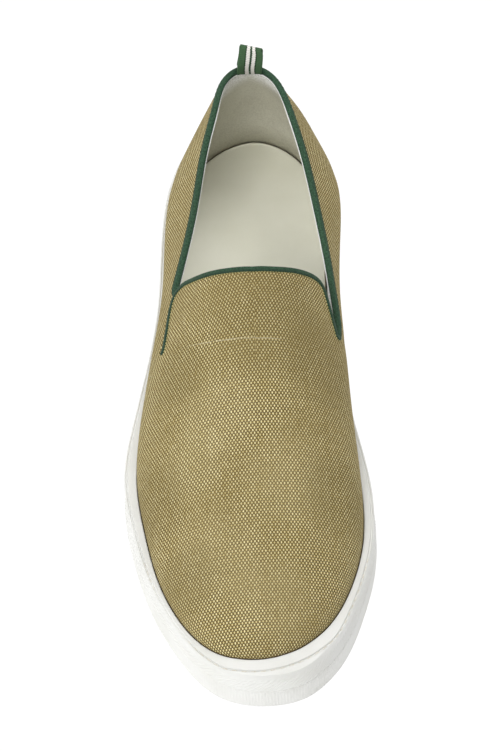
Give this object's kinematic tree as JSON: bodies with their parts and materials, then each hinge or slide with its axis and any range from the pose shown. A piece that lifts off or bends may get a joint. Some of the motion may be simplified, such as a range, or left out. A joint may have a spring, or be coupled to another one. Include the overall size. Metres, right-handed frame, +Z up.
{
  "type": "slip-on shoe",
  "caption": "Low canvas slip-on shoe for the right foot, with a bound collar slit at the sides, a ribbon pull loop at the heel and a moulded rubber cup sole.",
  "frame": {"origin": "on the floor under the middle of the shoe's bounding box", "axes": "+Z up, -Y towards the toe, +X towards the medial side"},
  "size_m": [0.1104, 0.2972, 0.0963],
  "materials": {
    "sole_rubber": "satin white moulded rubber",
    "canvas": "coarse khaki canvas, plain weave",
    "insole_leather": "smooth off-white leather",
    "binding_tape": "dark green woven tape",
    "striped_ribbon": "green ribbon with white stripes"
  },
  "bodies": {
    "root": {"outsole": "sole_rubber", "upper": "canvas", "insole": "insole_leather", "collar_binding": "binding_tape", "pull_loop": "striped_ribbon"}
  },
  "joints": []
}
